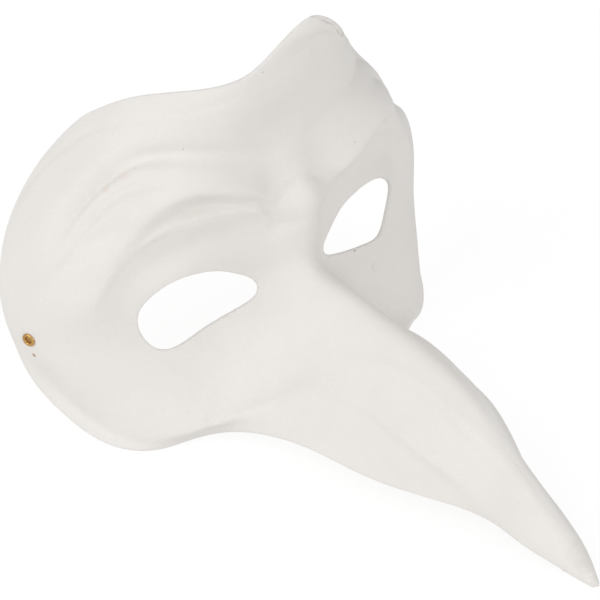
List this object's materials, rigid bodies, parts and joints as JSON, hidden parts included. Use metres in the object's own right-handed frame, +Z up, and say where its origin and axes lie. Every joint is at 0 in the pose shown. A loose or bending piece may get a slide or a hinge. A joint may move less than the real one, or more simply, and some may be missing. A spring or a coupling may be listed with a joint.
{
  "type": "venetian mask",
  "caption": "White half mask moulded from paper pulp, with a peaked forehead, heavy brow rolls, open eye holes and a long hollow beak nose, and a brass eyelet at each temple.",
  "frame": {"origin": "middle of the bounding box on the surface that the mask rests on", "axes": "+X to the wearer's left, +Y to the back of the wearer's head, +Z up; the face looks along -Y"},
  "size_m": [0.1872, 0.2226, 0.1623],
  "materials": {
    "paper_pulp": "unpainted white moulded paper pulp, matt, with a fine grain and fibres",
    "brass": "thin pressed brass, lightly polished"
  },
  "bodies": {
    "root": {"mask_shell": "paper_pulp", "eyelet_right_temple": "brass", "eyelet_left_temple": "brass"}
  },
  "joints": []
}
